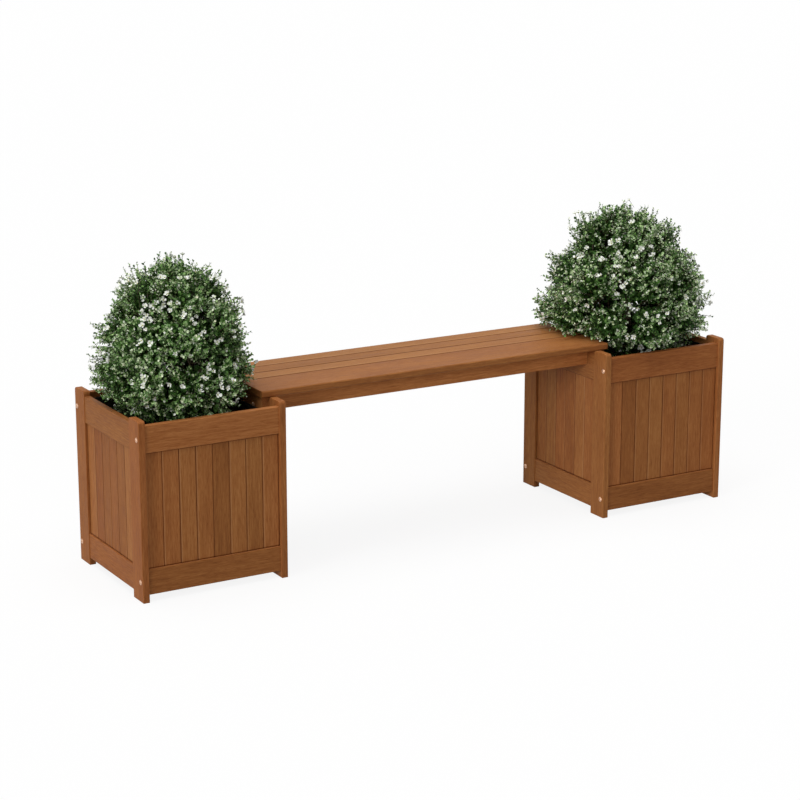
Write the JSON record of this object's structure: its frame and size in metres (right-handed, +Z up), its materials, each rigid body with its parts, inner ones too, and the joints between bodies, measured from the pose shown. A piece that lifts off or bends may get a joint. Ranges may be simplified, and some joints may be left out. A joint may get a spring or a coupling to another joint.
{
  "type": "planter bench",
  "caption": "Garden bench of oiled hardwood: a slatted seat carried between two square panelled planters, each with a liner tub and a white-flowering shrub.",
  "frame": {"origin": "on the ground under the middle of the seat", "axes": "+X along the bench to the right as seen from the front, +Y from the front to the back, +Z up"},
  "size_m": [1.837, 0.4748, 0.8308],
  "materials": {
    "oiled_hardwood": "oiled",
    "bolt_metal": "satin",
    "screw_steel": "satin",
    "dowel_wood": "bare",
    "liner_plastic": "matte",
    "potting_soil": "loose bark mix",
    "shrub_wood": "bark",
    "leaves": "leafy"
  },
  "bodies": {
    "bench": {"left_outer_front_post": "oiled_hardwood", "left_outer_rear_post": "oiled_hardwood", "left_inner_front_post": "oiled_hardwood", "left_inner_rear_post": "oiled_hardwood", "left_outer_upper_rail": "oiled_hardwood", "left_outer_lower_rail": "oiled_hardwood", "left_outer_boards": "oiled_hardwood", "left_inner_upper_rail": "oiled_hardwood", "left_inner_lower_rail": "oiled_hardwood", "left_inner_boards": "oiled_hardwood", "left_front_upper_rail": "oiled_hardwood", "left_front_lower_rail": "oiled_hardwood", "left_front_boards": "oiled_hardwood", "left_rear_upper_rail": "oiled_hardwood", "left_rear_lower_rail": "oiled_hardwood", "left_rear_boards": "oiled_hardwood", "left_front_floor_bearer": "oiled_hardwood", "left_rear_floor_bearer": "oiled_hardwood", "left_floor_slats": "oiled_hardwood", "right_outer_front_post": "oiled_hardwood", "right_outer_rear_post": "oiled_hardwood", "right_inner_front_post": "oiled_hardwood", "right_inner_rear_post": "oiled_hardwood", "right_outer_upper_rail": "oiled_hardwood", "right_outer_lower_rail": "oiled_hardwood", "right_outer_boards": "oiled_hardwood", "right_inner_upper_rail": "oiled_hardwood", "right_inner_lower_rail": "oiled_hardwood", "right_inner_boards": "oiled_hardwood", "right_front_upper_rail": "oiled_hardwood", "right_front_lower_rail": "oiled_hardwood", "right_front_boards": "oiled_hardwood", "right_rear_upper_rail": "oiled_hardwood", "right_rear_lower_rail": "oiled_hardwood", "right_rear_boards": "oiled_hardwood", "right_front_floor_bearer": "oiled_hardwood", "right_rear_floor_bearer": "oiled_hardwood", "right_floor_slats": "oiled_hardwood", "seat_rear_board": "oiled_hardwood", "seat_second_board": "oiled_hardwood", "seat_third_board": "oiled_hardwood", "seat_front_board": "oiled_hardwood", "seat_front_apron": "oiled_hardwood", "seat_rear_apron": "oiled_hardwood", "seat_middle_batten": "oiled_hardwood", "seat_left_hook_batten": "oiled_hardwood", "seat_right_hook_batten": "oiled_hardwood", "panel_connector_bolts": "bolt_metal", "panel_barrel_nuts": "bolt_metal", "end_frame_dowels": "dowel_wood", "seat_bolts": "bolt_metal", "seat_screws": "screw_steel"},
    "left_shrub": {"left_liner_tub": "liner_plastic", "left_soil": "potting_soil", "left_stems": "shrub_wood", "left_foliage": "leaves"},
    "right_shrub": {"right_liner_tub": "liner_plastic", "right_soil": "potting_soil", "right_stems": "shrub_wood", "right_foliage": "leaves"}
  },
  "joints": [
    {"name": "left_shrub_lift", "type": "slide", "parent": "bench", "child": "left_shrub", "axis": [0, 0, 1], "range_m": [0, 0.5]},
    {"name": "right_shrub_lift", "type": "slide", "parent": "bench", "child": "right_shrub", "axis": [0, 0, 1], "range_m": [0, 0.5]}
  ]
}
